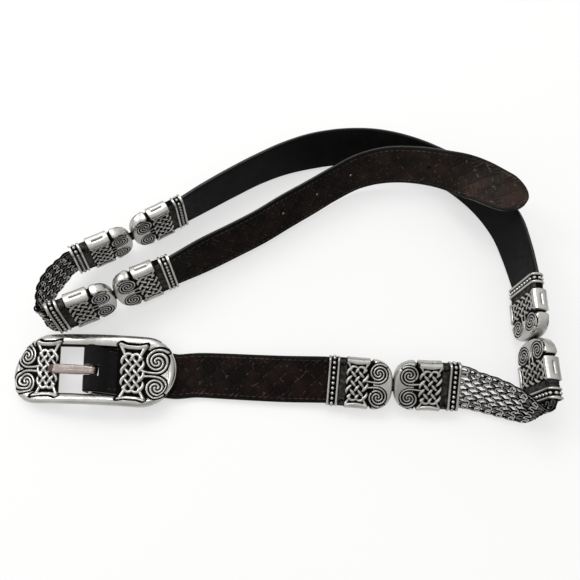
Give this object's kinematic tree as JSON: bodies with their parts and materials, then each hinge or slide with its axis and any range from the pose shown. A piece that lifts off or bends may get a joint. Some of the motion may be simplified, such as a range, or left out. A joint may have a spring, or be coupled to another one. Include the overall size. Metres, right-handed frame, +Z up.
{
  "type": "belt",
  "caption": "Braided leather belt lying open: leather straps and woven metal chain bands joined by cast caps with knot and spiral relief, with a centre-bar buckle.",
  "frame": {"origin": "middle of the belt's own box, on the surface it lies on", "axes": "+X from the buckle at the left front towards the right, +Y towards the back, +Z up from the surface"},
  "size_m": [0.2936, 0.1837, 0.0336],
  "materials": {
    "cast_metal": "antiqued silver-coloured casting, bright ridges and dark recesses",
    "prong_metal": "dull warm silver, scratched",
    "chain_metal": "antiqued dark silver",
    "strap_leather": "near-black brown, satin, stamped basket weave"
  },
  "bodies": {
    "root": {"buckle_frame": "cast_metal", "front_strap": "strap_leather", "right_chain": "chain_metal", "back_strap": "strap_leather", "left_chain": "chain_metal", "end_strap": "strap_leather", "cap_front_strap": "cast_metal", "cap_right_chain_front": "cast_metal", "cap_right_chain_back": "cast_metal", "cap_back_strap_right": "cast_metal", "cap_back_strap_left": "cast_metal", "cap_left_chain_back": "cast_metal", "cap_left_chain_front": "cast_metal", "cap_end_strap": "cast_metal", "link_front": "chain_metal", "link_right": "chain_metal", "link_left_back": "chain_metal", "link_left_front": "chain_metal"},
    "prong": {"buckle_prong": "prong_metal"}
  },
  "joints": [
    {"name": "prong_hinge", "type": "hinge", "parent": "root", "child": "prong", "pos_m": [-0.10167, -0.06347, 0.00939], "axis": [0.0488, 0.9988, 0], "range_deg": [0, 105]}
  ]
}
